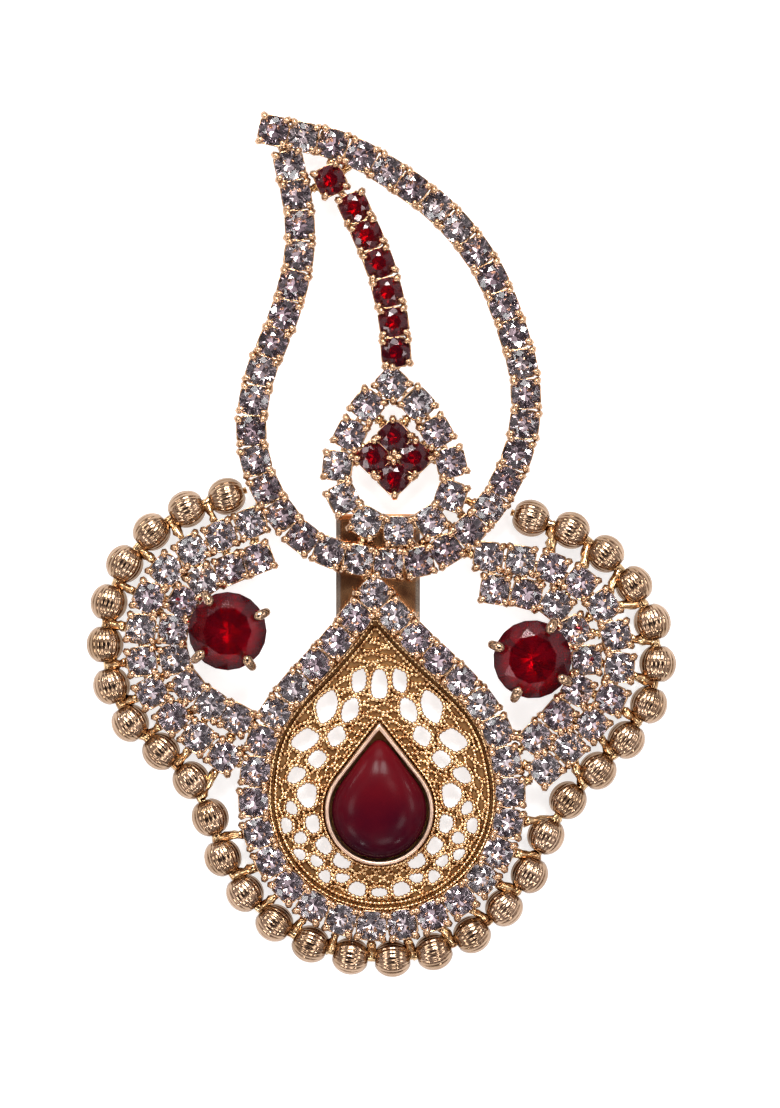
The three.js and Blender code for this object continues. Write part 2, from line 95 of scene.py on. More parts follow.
@dataclass
class Surface:
    """Corner places in metres and blocks of faces of a mesh, kept as whole arrays.

    Slots are the material numbers of the blocks, and tones say how much of its second shade a corner shows.
    """

    points: np.ndarray
    faces: list[np.ndarray]
    slots: list[int] = field(default_factory=list)
    tones: np.ndarray | None = None

    def __post_init__(self) -> None:
        """Gives every block the first material and every corner no tone when none is named."""
        self.slots = self.slots or [0] * len(self.faces)
        if self.tones is None:
            self.tones = np.zeros(len(self.points))

    def repeat(self, centres: np.ndarray, angles: np.ndarray, tones: np.ndarray | None = None,
               slopes: np.ndarray | None = None) -> "Surface":
        """Copies of the surface, each turned about +Z, sloped a little and moved.

        Args:
            centres: the place of each copy, one row each.
            angles: the turn of each copy in radians.
            tones: one tone for each copy.
            slopes: rise of each copy towards +X and +Y.

        Returns:
            All copies as one surface.
        """
        cos, sin, zero = np.cos(angles), np.sin(angles), np.zeros(len(angles))
        turn = np.stack([cos, -sin, zero, sin, cos, zero, zero, zero, zero + 1.0], axis=1).reshape(-1, 3, 3)
        points = np.einsum("kij,nj->kni", turn, self.points)
        if slopes is not None:
            points[..., 2] += np.einsum("knj,kj->kn", points[..., :2], slopes)
        points += centres[:, None, :]
        first = np.arange(len(angles))[:, None, None] * len(self.points)
        faces = [(block + first).reshape(-1, block.shape[1]) for block in self.faces]
        spread = np.tile(self.tones, len(angles)) if tones is None else np.repeat(tones, len(self.points))
        return Surface(points.reshape(-1, 3), faces, list(self.slots), spread)


def join(surfaces: list[Surface]) -> Surface:
    """One surface that holds all the given ones.

    Args:
        surfaces: the surfaces to put together.

    Returns:
        The joined surface.
    """
    first = np.cumsum([0] + [len(s.points) for s in surfaces[:-1]])
    faces = [block + start for s, start in zip(surfaces, first) for block in s.faces]
    slots = [slot for s in surfaces for slot in s.slots]
    tones = np.concatenate([s.tones for s in surfaces])
    return Surface(np.vstack([s.points for s in surfaces]), faces, slots, tones)


def unit(vectors: np.ndarray) -> np.ndarray:
    """The vectors, each with a length of one."""
    return vectors / np.linalg.norm(vectors, axis=-1, keepdims=True)


def spans(one: np.ndarray, other: np.ndarray) -> np.ndarray:
    """Distances from each place of one array to each place of the other."""
    return np.linalg.norm(one[:, None] - other[None], axis=2)


def circle(count: int) -> np.ndarray:
    """Angles of places spread evenly round a circle."""
    return np.linspace(0.0, TURN, count, endpoint=False)


def rays(angle: np.ndarray) -> np.ndarray:
    """The x and y of the directions at the given angles."""
    return np.stack([np.cos(angle), np.sin(angle)], axis=-1)


def lifted(flat: np.ndarray, height: float) -> np.ndarray:
    """Flat places set at a height."""
    return np.insert(flat, 2, height, axis=1)


def upright(profile: list[Row]) -> np.ndarray:
    """A profile of distance and height rows, in millimetres, set over the X axis."""
    return np.insert(np.array(profile), 1, 0.0, axis=1) * MM


def skin(grid: np.ndarray, ring: bool = False) -> Surface:
    """A closed skin over rows of points that close on themselves; open ends get a fan round their middle.

    Args:
        grid: places as rows, columns and three coordinates.
        ring: whether the last row joins the first.

    Returns:
        The closed surface.
    """
    rows, columns = grid.shape[:2]
    points = grid.reshape(-1, 3)
    here = np.arange(rows * columns).reshape(rows, columns)
    after = np.roll(here, -1, axis=0)
    if not ring:
        here, after = here[:-1], after[:-1]
    corners = (here, np.roll(here, -1, axis=1), np.roll(after, -1, axis=1), after)
    faces = [np.stack(corners, axis=-1).reshape(-1, 4)]
    if not ring:
        points = np.vstack([points, grid[0].mean(0), grid[-1].mean(0)])
        ends = ((np.roll(here[0], -1), here[0]), (after[-1], np.roll(after[-1], -1)))
        for middle, (one, other) in enumerate(ends, rows * columns):
            faces.append(np.stack([np.full(columns, middle), one, other], axis=1))
    return Surface(points, faces)


def sweep(path: np.ndarray, reach: np.ndarray | float, sides: int, closed: bool = False,
          across: np.ndarray | None = None) -> Surface:
    """A tube: at each step of the path a ring is drawn round it, as far out as reach says.

    Args:
        path: places along the middle line.
        reach: one radius, one for each step as a column, or one for each step and side.
        sides: number of points round the tube.
        closed: whether the path ends where it starts.
        across: a fixed sideways direction, for a path that stays in one upright plane.

    Returns:
        The closed tube.
    """
    along = unit(np.roll(path, -1, 0) - np.roll(path, 1, 0) if closed else np.gradient(path, axis=0))
    side = unit(np.cross(along, [0.0, 0.0, 1.0]) if across is None else np.broadcast_to(across, along.shape))
    up = np.cross(side, along)
    cos, sin = rays(circle(sides)).T[:, None, :, None]
    reach = np.broadcast_to(reach, (len(path), sides))[:, :, None]
    return skin(path[:, None] + reach * (cos * side[:, None] + sin * up[:, None]), ring=closed)


def smooth_path(points: np.ndarray, steps: int, closed: bool) -> np.ndarray:
    """A curve through all points, each stretch a cubic that leaves a point towards its neighbours.

    Args:
        points: places to pass through.
        steps: steps between two of them.
        closed: whether the curve returns to the first point.

    Returns:
        Places along the curve.
    """
    if closed:
        around = [np.roll(points, shift, 0) for shift in (1, 0, -1, -2)]
    else:
        padded = np.vstack([2 * points[0] - points[1], points, 2 * points[-1] - points[-2]])
        around = [padded[i:len(padded) - 3 + i] for i in range(4)]
    t = np.linspace(0.0, 1.0, steps, endpoint=False)[None, :, None]
    before, start, end, after = (row[:, None] for row in around)
    bend = 2 * before - 5 * start + 4 * end - after + t * (3 * (start - end) + after - before)
    curve = (start + 0.5 * t * (end - before + t * bend)).reshape(-1, points.shape[1])
    return curve if closed else np.vstack([curve, points[-1]])


def even_steps(path: np.ndarray, step: float, closed: bool) -> np.ndarray:
    """The same path with places at equal distances.

    Args:
        path: places along a line.
        step: the wished distance.
        closed: whether the path returns to its start.

    Returns:
        Places at equal distances.
    """
    line = np.vstack([path, path[:1]]) if closed else path
    length = np.concatenate([[0.0], np.cumsum(np.linalg.norm(np.diff(line, axis=0), axis=1))])
    count = max(4, int(round(length[-1] / step)))
    at = np.linspace(0.0, length[-1], count + 1)[:count if closed else count + 1]
    return np.stack([np.interp(at, length, axis) for axis in line.T], axis=1)


def turned(profile: list[Row], sides: int) -> Surface:
    """A closed profile of radius and height rows, in millimetres, turned about +Z."""
    (radius, height), (cos, sin) = np.array(profile).T[:, :, None] * MM, rays(circle(sides)).T[:, None]
    return skin(np.stack([radius * cos, radius * sin, height + 0 * cos], axis=-1), ring=True)


def node_points(node: str) -> np.ndarray:
    """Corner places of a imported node.

    Args:
        node: name of the node.

    Returns:
        One row for each corner, in metres.
    """
    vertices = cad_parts[node].data.vertices
    flat = np.empty(len(vertices) * 3, np.float32)
    vertices.foreach_get("co", flat)
    return flat.reshape(-1, 3).astype(float)


def grouped(count: int, links: np.ndarray) -> np.ndarray:
    """Numbers the groups of places that hang together by links, by passing on the lowest number.

    Args:
        count: number of places.
        links: pairs of linked places.

    Returns:
        The group number of each place.
    """
    here, there = np.vstack([links, links[:, ::-1]]).T
    labels = np.arange(count)
    for _ in range(count):
        lowest = labels.copy()
        np.minimum.at(lowest, here, labels[there])
        if (lowest == labels).all():
            break
        labels = lowest
    return np.unique(labels, return_inverse=True)[1]


def tops(node: str, above: float, step: float) -> tuple[np.ndarray, np.ndarray, np.ndarray]:
    """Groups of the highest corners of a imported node.

    Args:
        node: name of the node.
        above: height over which corners count.
        step: the longest step inside a group.

    Returns:
        The x and y of the corners, the group of each and the middle of each group.
    """
    corners = node_points(node)
    spots = np.unique(np.round(corners[corners[:, 2] > above, :2], 7), axis=0)
    labels = grouped(len(spots), np.argwhere(spans(spots, spots) < step))
    middles = np.stack([np.bincount(labels, axis) / np.bincount(labels) for axis in spots.T], axis=1)
    return spots, labels, middles


def put(name: str, data: bpy.types.ID) -> bpy.types.Object:
    """Links a new object to the scene.

    Args:
        name: name of the object.
        data: its mesh, light or camera.

    Returns:
        The object.
    """
    thing = bpy.data.objects.new(name, data)
    bpy.context.scene.collection.objects.link(thing)
    return thing


def add_piece(name: str, surface: Surface, materials: list[Material], stands_for: list[str],
              shade: Shade = Shade.SMOOTH) -> None:
    """Makes a mesh object of a surface and hangs it on the jewel.

    Args:
        name: name of the piece.
        surface: its points and faces.
        materials: its materials in the order of the surface's material numbers.
        stands_for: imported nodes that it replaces.
        shade: how its faces are shaded.
    """
    mesh = bpy.data.meshes.new(name)
    faces = [corners for block in surface.faces for corners in block.tolist()]
    mesh.from_pydata(surface.points.tolist(), [], faces, shade_flat=shade is Shade.FLAT)
    numbers = np.repeat(surface.slots, [len(block) for block in surface.faces])
    mesh.polygons.foreach_set("material_index", numbers.astype(np.int32))
    mesh.validate()
    for material in materials:
        mesh.materials.append(material)
    tone = mesh.attributes.new("tone", "FLOAT", "POINT")
    tone.data.foreach_set("value", surface.tones.astype(np.float32))
    shell = bmesh.new()
    shell.from_mesh(mesh)
    bmesh.ops.recalc_face_normals(shell, faces=shell.faces)
    shell.to_mesh(mesh)
    shell.free()
    piece = put(name, mesh)
    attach(piece, "root")
    for node in stands_for:
        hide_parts(node)
    LOG.info("%s: %d faces", name, len(faces))


@dataclass
class Tree:
    """A node tree being filled. An input takes an output, a number, or a colour that gets full cover."""

    tree: bpy.types.NodeTree

    def fill(self, node: bpy.types.Node, inputs: Inputs) -> None:
        """Fills inputs of a node.

        Args:
            node: the node.
            inputs: what goes into each input, by its name or number.
        """
        for key, value in inputs.items():
            if isinstance(value, Socket):
                self.tree.links.new(value, node.inputs[key])
            else:
                node.inputs[key].default_value = (*value, 1.0) if isinstance(value, tuple) else value

    def add(self, kind: str, inputs: Inputs | None = None, **settings: object) -> bpy.types.Node:
        """A new node.

        Args:
            kind: type of the node.
            inputs: what goes into its inputs.
            settings: values of its own properties.

        Returns:
            The node.
        """
        node = self.tree.nodes.new(kind)
        for key, value in settings.items():
            setattr(node, key, value)
        self.fill(node, inputs or {})
        return node

    def math(self, operation: str, first: object, second: object = 0.5) -> Socket:
        """The result of an operation on two values."""
        return self.add("ShaderNodeMath", {0: first, 1: second}, operation=operation).outputs[0]

    def mix(self, share: object, first: object, second: object) -> Socket:
        """A blend of two colours, with the share of the second."""
        return self.add("ShaderNodeMix", {0: share, 6: first, 7: second}, data_type="RGBA").outputs[2]

    def noise(self, place: Socket, scale: object, detail: float = 2.0, roughness: float = 0.5) -> Socket:
        """Clouds of noise with values about a half."""
        inputs = {"Vector": place, "Scale": scale, "Detail": detail, "Roughness": roughness}
        return self.add("ShaderNodeTexNoise", inputs).outputs["Fac"]

    def ramp(self, value: Socket, start: float, end: float, low: float = 0.0, high: float = 1.0) -> Socket:
        """A value carried from the range of start and end to that of low and high, and held at both ends."""
        inputs = {"Value": value, "From Min": start, "From Max": end, "To Min": low, "To Max": high}
        return self.add("ShaderNodeMapRange", inputs).outputs["Result"]

    def place(self, kind: str = "Object") -> Socket:
        """Coordinates of the shaded place."""
        return self.add("ShaderNodeTexCoord").outputs[kind]

    def axis(self, place: Socket, name: str) -> Socket:
        """One of three coordinates."""
        return self.add("ShaderNodeSeparateXYZ", {"Vector": place}).outputs[name]

    def tone(self) -> Socket:
        """The surface's own tone."""
        return self.add("ShaderNodeAttribute", attribute_name="tone").outputs["Fac"]

    def swing(self, cloud: Socket, span: float) -> Socket:
        """Clouds that swing about zero."""
        return self.math("MULTIPLY", self.math("SUBTRACT", cloud, 0.5), span)


def new_group(name: str, inputs: dict[str, Kind],
              outputs: dict[str, Kind]) -> tuple[Tree, object, bpy.types.Node]:
    """An empty shader node group.

    Args:
        name: name of the group.
        inputs: kind of each input.
        outputs: kind of each output.

    Returns:
        The tree, the sockets that give the inputs and the node that takes the outputs.
    """
    group = bpy.data.node_groups.new(name, "ShaderNodeTree")
    for way, sockets in (("INPUT", inputs), ("OUTPUT", outputs)):
        for key, kind in sockets.items():
            group.interface.new_socket(key, in_out=way, socket_type=kind.value)
    tree = Tree(group)
    return tree, tree.add("NodeGroupInput").outputs, tree.add("NodeGroupOutput")


def gold_tone_group() -> bpy.types.NodeTree:
    """Cloudy plating: broad noise and the surface's tone blend two golds, fine noise sets polish and height.

    Returns:
        The group, with colour, roughness and height outputs.
    """
    inputs = {"Bright": Kind.COLOR, "Deep": Kind.COLOR, "Grain": Kind.VALUE, "Polish": Kind.VALUE}
    outputs = {"Color": Kind.COLOR, "Roughness": Kind.VALUE, "Height": Kind.VALUE}
    tree, given, taken = new_group("gold_tone", inputs, outputs)
    place = tree.place()
    broad = tree.noise(place, given["Grain"], detail=3.0, roughness=0.6)
    fine = tree.noise(place, tree.math("MULTIPLY", given["Grain"], 5.0))
    # on beaded wire the tone adds painted shade in the notches and a painted highlight on the grains
    share = tree.math("ADD", tree.tone(), tree.ramp(broad, start=0.35, end=0.7))
    wear = tree.math("MULTIPLY", fine, 0.16)
    color = tree.mix(share, given["Bright"], given["Deep"])
    tree.fill(taken, {"Color": color, "Roughness": tree.math("ADD", given["Polish"], wear), "Height": fine})
    return tree.tree


def stone_tone_group() -> bpy.types.NodeTree:
    """Tint of a stone: its own tone blends two colours, and faint clouds roughen the polish.

    Returns:
        The group, with colour and roughness outputs.
    """
    inputs = {"Light": Kind.COLOR, "Dark": Kind.COLOR, "Polish": Kind.VALUE}
    tree, given, taken = new_group("stone_tone", inputs, {"Color": Kind.COLOR, "Roughness": Kind.VALUE})
    cloud = tree.noise(tree.place(), scale=900.0)
    share = tree.math("ADD", tree.tone(), tree.swing(cloud, span=0.6))
    haze = tree.math("MULTIPLY", cloud, 0.05)
    color = tree.mix(share, given["Light"], given["Dark"])
    tree.fill(taken, {"Color": color, "Roughness": tree.math("ADD", given["Polish"], haze)})
    return tree.tree


def new_material(name: str) -> tuple[Material, Tree, bpy.types.Node]:
    """A material to be filled.

    Args:
        name: name of the material.

    Returns:
        The material, its node tree and its shader.
    """
    material = bpy.data.materials.new(name)
    material.use_nodes = True
    return material, Tree(material.node_tree), material.node_tree.nodes["Principled BSDF"]


@dataclass(frozen=True)
class GoldFinish:
    """A gold plating of two shades with a fine grain."""

    name: str
    bright: Color
    deep: Color
    polish: float
    grain: float
    relief: float
    depth: float = 0.05 * MM

    def material(self, group: bpy.types.NodeTree) -> Material:
        """The finish as a material.

        Args:
            group: the shared plating group.

        Returns:
            A metal with clouded colour, polish and a slight relief.
        """
        material, tree, shader = new_material(self.name)
        inputs = {"Bright": self.bright, "Deep": self.deep, "Grain": self.grain, "Polish": self.polish}
        tone = tree.add("ShaderNodeGroup", inputs, node_tree=group).outputs
        relief = {"Strength": self.relief, "Distance": self.depth, "Height": tone["Height"]}
        bump = tree.add("ShaderNodeBump", relief).outputs["Normal"]
        tree.fill(shader, {"Metallic": 1.0, "Base Color": tone["Color"], "Roughness": tone["Roughness"],
                           "Normal": bump})
        return material


@dataclass(frozen=True)
class StoneFinish:
    """Glass of the upper part of a stone, or mirror foil with no clarity behind its lower part."""

    name: str
    light: Color
    dark: Color
    haze: float
    metallic: float = 0.0
    clarity: float = 0.0
    bend: float = 1.5

    def material(self, group: bpy.types.NodeTree) -> Material:
        """The finish as a material.

        Args:
            group: the shared stone tint group.

        Returns:
            A tinted glass or mirror.
        """
        material, tree, shader = new_material(self.name)
        inputs = {"Light": self.light, "Dark": self.dark, "Polish": self.haze}
        tone = tree.add("ShaderNodeGroup", inputs, node_tree=group).outputs
        tree.fill(shader, {"Base Color": tone["Color"], "Roughness": tone["Roughness"],
                           "Metallic": self.metallic, "Transmission Weight": self.clarity, "IOR": self.bend})
        return material


@dataclass(frozen=True)
class CabochonFinish:
    """A polished dark red dome with painted light: redder towards its tip at high than at low, on the side the
    window lights face, with faint clouds inside.
    """

    name: str
    tip: Color
    foot: Color
    low: float
    high: float
    gloss: float = 0.055

    def material(self) -> Material:
        """The finish as a material.

        Returns:
            A glossy body with a colour that runs from foot to tip, a painted light gradient.
        """
        material, tree, shader = new_material(self.name)
        place = tree.place()
        cloud = tree.noise(place, scale=260.0, detail=3.0)
        # painted light: the colour lightens from the foot up to the tip, towards the window lights
        rise = tree.ramp(tree.axis(place, "Y"), self.low, self.high)
        color = tree.mix(tree.math("ADD", rise, tree.swing(cloud, span=0.5)), self.foot, self.tip)
        haze = tree.ramp(cloud, 0.0, 1.0, low=0.16, high=0.23)
        tree.fill(shader, {"Base Color": color, "Roughness": haze, "Specular IOR Level": self.gloss})
        return material


@dataclass(frozen=True)
class SheetFinish:
    """Polished sheet, clouded in brown and red gold, with a pale rim of painted highlight along its two long
    edges.
    """

    name: str
    bright: Color
    deep: Color
    # colour of the painted edge highlight
    rim: Color
    middle: float
    half: float
    highlight_fade: Row = (0.8 * MM, 0.5 * MM)

    def material(self) -> Material:
        """The finish as a material.

        Returns:
            A metal whose colour changes with the distance from its middle line, to a painted highlight near
            both long edges.
        """
        material, tree, shader = new_material(self.name)
        place = tree.place()
        away = tree.math("ABSOLUTE", tree.math("SUBTRACT", tree.axis(place, "X"), self.middle))
        # painted highlight: the colour turns to the pale rim near both long edges
        edge = tree.ramp(away, start=self.half - self.highlight_fade[0], end=self.half - self.highlight_fade[1])
        cloud = tree.noise(place, scale=230.0)
        sheen = tree.mix(tree.ramp(cloud, start=0.32, end=0.68), self.deep, self.bright)
        haze = tree.ramp(cloud, 0.0, 1.0, low=0.16, high=0.30)
        color = tree.mix(edge, sheen, self.rim)
        tree.fill(shader, {"Metallic": 1.0, "Base Color": color, "Roughness": haze})
        return material


# name, bright and deep shade, polish, grain, relief
GOLDS = {
    "rose": GoldFinish("rose_gold_plate", (0.37, 0.25, 0.165), (0.24, 0.15, 0.085), 0.06, 260.0, 0.0),
    "satin": GoldFinish("satin_gold", (0.74, 0.53, 0.40), (0.52, 0.34, 0.24), 0.30, 260.0, 0.1),
    "claw": GoldFinish("claw_gold", (0.54, 0.35, 0.215), (0.31, 0.175, 0.09), 0.08, 900.0, 0.1),
    "yellow": GoldFinish("filigree_gold", (0.70, 0.50, 0.27), (0.26, 0.115, 0.042), 0.07, 700.0, 0.1),
    # painted shade: a darker copy of the filigree gold for the plate, standing for the shade between the wires
    "painted_shade_backing": GoldFinish("painted_shade_backing_gold", (0.40, 0.215, 0.085), (0.25, 0.105, 0.036), 0.30, 900.0, 0.5),
}
# name, light and dark tint, haze
STONES = {
    "clear": (
        StoneFinish("clear_crystal", (1.0, 0.985, 0.985), (0.97, 0.93, 0.945), 0.0, clarity=1.0, bend=1.58),
        StoneFinish("silver_foil", (1.0, 0.97, 0.97), (0.94, 0.87, 0.90), 0.01, metallic=1.0),
    ),
    "leaf": (
        StoneFinish("leaf_crystal", (0.93, 0.90, 0.90), (0.82, 0.76, 0.78), 0.0, clarity=1.0, bend=1.58),
        StoneFinish("leaf_foil", (0.92, 0.87, 0.87), (0.82, 0.74, 0.77), 0.01, metallic=1.0),
    ),
    "red": (
        StoneFinish("red_crystal", (0.33, 0.008, 0.019), (0.20, 0.005, 0.026), 0.02, clarity=0.92, bend=1.44),
        StoneFinish("red_foil", (0.80, 0.20, 0.21), (0.50, 0.09, 0.12), 0.05, metallic=1.0),
    ),
    "deep_red": (
        StoneFinish("deep_red_crystal", (0.25, 0.005, 0.017), (0.16, 0.0035, 0.03), 0.08, clarity=0.96,
                    bend=1.36),
        StoneFinish("deep_red_foil", (0.85, 0.16, 0.17), (0.62, 0.09, 0.13), 0.16, metallic=1.0),
    ),
}


@dataclass(frozen=True)
class Palette:
    """The golds, and the glass and foil of each kind of stone."""

    rose: Material
    satin: Material
    claw: Material
    yellow: Material
    painted_shade_backing: Material
    clear: list[Material]
    leaf: list[Material]
    red: list[Material]
    deep_red: list[Material]

    @classmethod
    def mixed(cls) -> "Palette":
        """All finishes turned into materials.

        Returns:
            The palette.
        """
        plating, tint = gold_tone_group(), stone_tone_group()
        golds = {key: finish.material(plating) for key, finish in GOLDS.items()}
        stones = {key: [finish.material(tint) for finish in pair] for key, pair in STONES.items()}
        return cls(**golds, **stones)


@dataclass(frozen=True)
class BrilliantCut:
    """A round brilliant with a table, stars, kites and halves above the girdle and the same below it.

    Sizes are in millimetres; table and lower, where the lower kites are widest, are shares of the radius.
    """

    radius: float
    table: float
    crown: float
    depth: float
    girdle: float
    folds: int = 8
    lower: float = 0.32

    def surface(self) -> Surface:
        """The facets; the kites are flat because their side corners lie on the line from table to girdle.

        Returns:
            The stone about the +Z axis, glass above and foil below.
        """
        half = math.pi / self.folds
        k = np.arange(self.folds)
        ahead, behind = (k + 1) % self.folds, (k - 1) % self.folds
        star = 0.5 * (1.0 + self.table)
        rings = [
            (self.table, self.crown, 2 * half * k),
            (star, self.crown * (1.0 - star * math.cos(half)) / (1.0 - self.table), 2 * half * k + half),
            (1.0, 0.0, half * np.arange(2 * self.folds)),
            (self.lower, -self.depth * (1.0 - self.lower * math.cos(half)), 2 * half * k + half),
            (0.0, -self.depth, np.zeros(1)),
        ]
        points = [lifted(self.radius * out * rays(angle), self.girdle + up) for out, up, angle in rings]
        table, side, edge, low, tip = np.cumsum([0] + [len(ring) for ring in points[:-1]])
        even, odd, far = edge + 2 * k, edge + 2 * k + 1, edge + (2 * k + 2) % (2 * self.folds)
        culet = np.full(self.folds, tip)
        faces = [
            (table + k)[None],
            np.stack([table + k, side + k, table + ahead], axis=1),
            np.stack([table + k, side + behind, even, side + k], axis=1),
            np.vstack([np.stack([side + k, even, odd], axis=1), np.stack([side + k, odd, far], axis=1)]),
            np.stack([culet, low + k, even, low + behind], axis=1),
            np.vstack([np.stack([low + k, odd, even], axis=1), np.stack([low + k, far, odd], axis=1)]),
        ]
        return Surface(np.vstack(points) * MM, faces, [0, 0, 0, 0, 1, 1])


CHAIN_CUT = BrilliantCut(radius=2.24, table=0.50, crown=0.62, depth=1.80, girdle=5.2)
CUP_PROFILE = [(0.5, 3.1), (1.7, 3.25), (2.36, 4.5), (2.52, 4.95), (2.48, 5.14), (2.30, 5.1), (0.5, 3.35)]
CUP_SIDES = 12
CUP_SQUARE = 0.09
CLAW_PATH = [(2.3, 3.8), (2.66, 4.5), (2.74, 5.2), (2.44, 5.68), (1.94, 5.84)]
CLAW_REACH = [0.46, 0.56, 0.60, 0.56, 0.28]
TABLE_STEP = 1.2 * MM  # the longest step between corners of one table
LINK_STEPS = 1.3  # the longest way between linked cups, in usual steps


@dataclass
class StoneRow:
    """A row of small stones in claw cups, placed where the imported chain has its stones.

    Twist is the greatest turn of a stone, and slope its greatest rise and the greatest turn of a claw.
    """

    node: str
    stones: list[Material]
    claw: Material
    slot: Slot
    sides: int = 6
    link_radius: float = 0.55 * MM
    link_inset: float = 1.5 * MM
    link_height: float = 4.1 * MM
    twist: float = 0.2
    slope: float = 0.08
    centres: np.ndarray = field(init=False)
    angles: np.ndarray = field(init=False)
    apart: np.ndarray = field(init=False)

    def __post_init__(self) -> None:
        """Finds each eight-sided table of the chain, its middle and the direction towards its neighbour."""
        top, labels, self.centres = tops(self.node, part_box(self.node)[1].z - LEVEL, TABLE_STEP)
        spoke = top - self.centres[labels]
        eighth = np.exp(8j * np.arctan2(spoke[:, 1], spoke[:, 0]))
        sums = np.bincount(labels, eighth.real) + 1j * np.bincount(labels, eighth.imag)
        flat = np.angle(sums) / 8 + math.pi / 8
        self.apart = spans(self.centres, self.centres) + np.eye(len(self.centres))
        towards = self.centres[self.apart.argmin(axis=1)] - self.centres
        heading = np.arctan2(towards[:, 1], towards[:, 0])
        self.angles = flat + 0.5 * QUARTER * np.round((heading - flat) / (0.5 * QUARTER))

    def links(self) -> Surface:
        """Short rods between neighbouring cups.

        Returns:
            All rods of the row.
        """
        one, other = np.nonzero(np.triu(self.apart < LINK_STEPS * np.median(self.apart.min(axis=1)), 1))
        inset = self.link_inset * unit(self.centres[other] - self.centres[one])
        starts = lifted(self.centres[one] + inset, self.link_height)
        ends = lifted(self.centres[other] - inset, self.link_height)
        return join([sweep(np.stack(rod), self.link_radius, self.sides) for rod in zip(starts, ends)])

    def build(self, random: Random) -> None:
        """Adds the stones and their gold.

        Args:
            random: source of the small differences between stones.
        """
        count = len(self.centres)
        places = lifted(self.centres, 0.0)
        turns = self.angles + random.uniform(-self.twist, self.twist, count)
        tones = random.uniform(0.0, 1.0, count)
        slopes = random.uniform(-self.slope, self.slope, (count, 2))
        stones = CHAIN_CUT.surface().repeat(places, turns, tones, slopes)
        add_piece(f"{self.node}_stones", stones, self.stones, [self.node], Shade.FLAT)
        cup = turned(CUP_PROFILE, CUP_SIDES)
        round_way = np.arctan2(cup.points[:, 1], cup.points[:, 0])
        cup.points[:, :2] *= 1.0 - CUP_SQUARE * np.cos(4.0 * round_way)[:, None]
        cups = cup.repeat(places, self.angles)
        claw = sweep(upright(CLAW_PATH), np.array(CLAW_REACH)[:, None] * MM, self.sides, across=SIDEWAYS)
        spokes = (self.angles[:, None] + 0.5 * QUARTER + QUARTER * np.arange(4)).ravel()
        spokes += random.uniform(-self.slope, self.slope, len(spokes))
        claws = claw.repeat(np.repeat(places, 4, axis=0), spokes)
        add_piece(f"{self.node}_cups", join([cups, claws, self.links()]), [self.claw], [self.node])


@dataclass
class BeadString:
    """Fluted beads on a wire.

    A bead ends at the latitude lean. Depth and width of a groove are shares of the radius and of a rib, and
    the hole's rows lie at the share inner of half the length.
    """

    gold: Material
    wire: Material
    radius: float = 2.8 * MM
    length: float = 5.3 * MM
    hole: float = 0.75 * MM
    lean: float = 68.0
    rows: int = 19
    flutes: int = 18
    fine: int = 8
    depth: float = 0.034
    width: float = 0.16
    barrel: float = 0.92
    inner: float = 0.97
    thick: float = 0.5 * MM
    wire_steps: int = 4
    wire_sides: int = 8

    def bead(self, turn: float) -> np.ndarray:
        """Grid of one bead along +X: a barrel with bell-curve grooves, whose last rows pass through the hole.

        Args:
            turn: turn of the ribs in radians.

        Returns:
            Rows along the bead, columns round it.
        """
        lean = np.radians(np.linspace(-self.lean, self.lean, self.rows))[:, None]
        angle = circle(self.flutes * self.fine)[None, :]
        off = (np.arange(angle.size) % self.fine - self.fine // 2) / self.fine
        groove = self.depth * np.exp(-(off / self.width) ** 2)
        reach = self.radius * np.cos(lean) ** self.barrel * (1.0 - groove)
        along = 0.5 * self.length * np.sin(lean) / math.sin(math.radians(self.lean)) + 0 * angle
        ends = 0.5 * self.length * np.array([[self.inner], [-self.inner]]) + 0 * angle
        reach = np.vstack([reach, np.full(ends.shape, self.hole)])
        along = np.vstack([along, ends])
        return np.stack([along, reach * np.cos(angle + turn), reach * np.sin(angle + turn)], axis=-1)

    def build(self, random: Random) -> np.ndarray:
        """Adds each bead in the place of its packed ring, and the wire through them.

        Args:
            random: source of the turn of each bead.

        Returns:
            The centres of the beads, one after the other.
        """
        nodes = sorted(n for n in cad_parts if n.startswith("bead_") and n != "bead_wire")
        centres = np.array([[list(corner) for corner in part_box(n)] for n in nodes]).mean(axis=1)
        for node, centre, (cos, sin) in zip(nodes, centres, unit(np.gradient(centres[:, :2], axis=0))):
            turn = np.array([[cos, -sin, 0.0], [sin, cos, 0.0], [0.0, 0.0, 1.0]])
            grid = self.bead(random.uniform(0.0, 1.0)) @ turn.T + centre
            add_piece(f"{node}_fluted", skin(grid, ring=True), [self.gold], [node])
        first, last = 1.5 * centres[0] - 0.5 * centres[1], 1.5 * centres[-1] - 0.5 * centres[-2]
        path = smooth_path(np.vstack([first, centres, last]), self.wire_steps, False)
        wire = sweep(path, self.thick, self.wire_sides)
        add_piece("bead_wire_drawn", wire, [self.wire], ["bead_wire"])
        return centres


